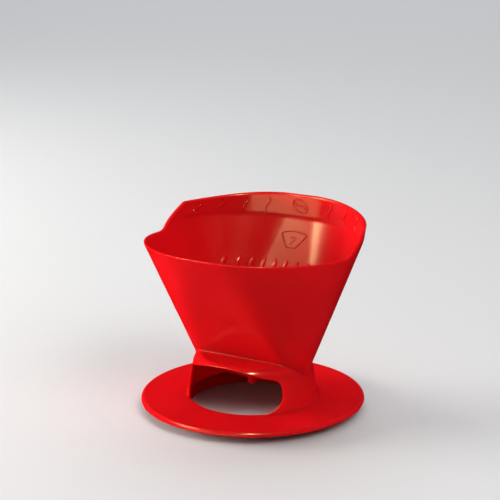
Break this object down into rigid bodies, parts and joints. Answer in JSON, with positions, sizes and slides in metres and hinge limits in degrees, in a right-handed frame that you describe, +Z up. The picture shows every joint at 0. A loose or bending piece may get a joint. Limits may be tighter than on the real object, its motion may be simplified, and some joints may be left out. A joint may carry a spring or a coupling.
{
  "type": "pour over dripper",
  "caption": "Plastic pour-over coffee dripper: wedge-shaped filter cone with ribs and a high back rim, on a collar with a viewing window and a round saucer flange.",
  "frame": {"origin": "centre of the locating ring's lower face, on the table, which is the bottom centre of the bounding box", "axes": "+Z up; the viewing window faces -Y and the high back of the rim is at +Y; the wedge's long axis lies along X"},
  "size_m": [0.13, 0.13, 0.1141],
  "materials": {
    "red_plastic": "glossy moulded polypropylene"
  },
  "bodies": {
    "root": {"base_flange": "red_plastic", "flange_lip": "red_plastic", "mug_locating_ring": "red_plastic", "window_collar": "red_plastic", "front_shoulder": "red_plastic", "back_shoulder": "red_plastic", "filter_cone": "red_plastic", "raised_back_rim": "red_plastic", "cone_floor": "red_plastic", "drip_nozzle": "red_plastic", "back_wall_ribs": "red_plastic", "front_wall_ribs": "red_plastic", "filter_size_mark": "red_plastic", "steam_marks": "red_plastic", "bean_emblem": "red_plastic"}
  },
  "joints": []
}
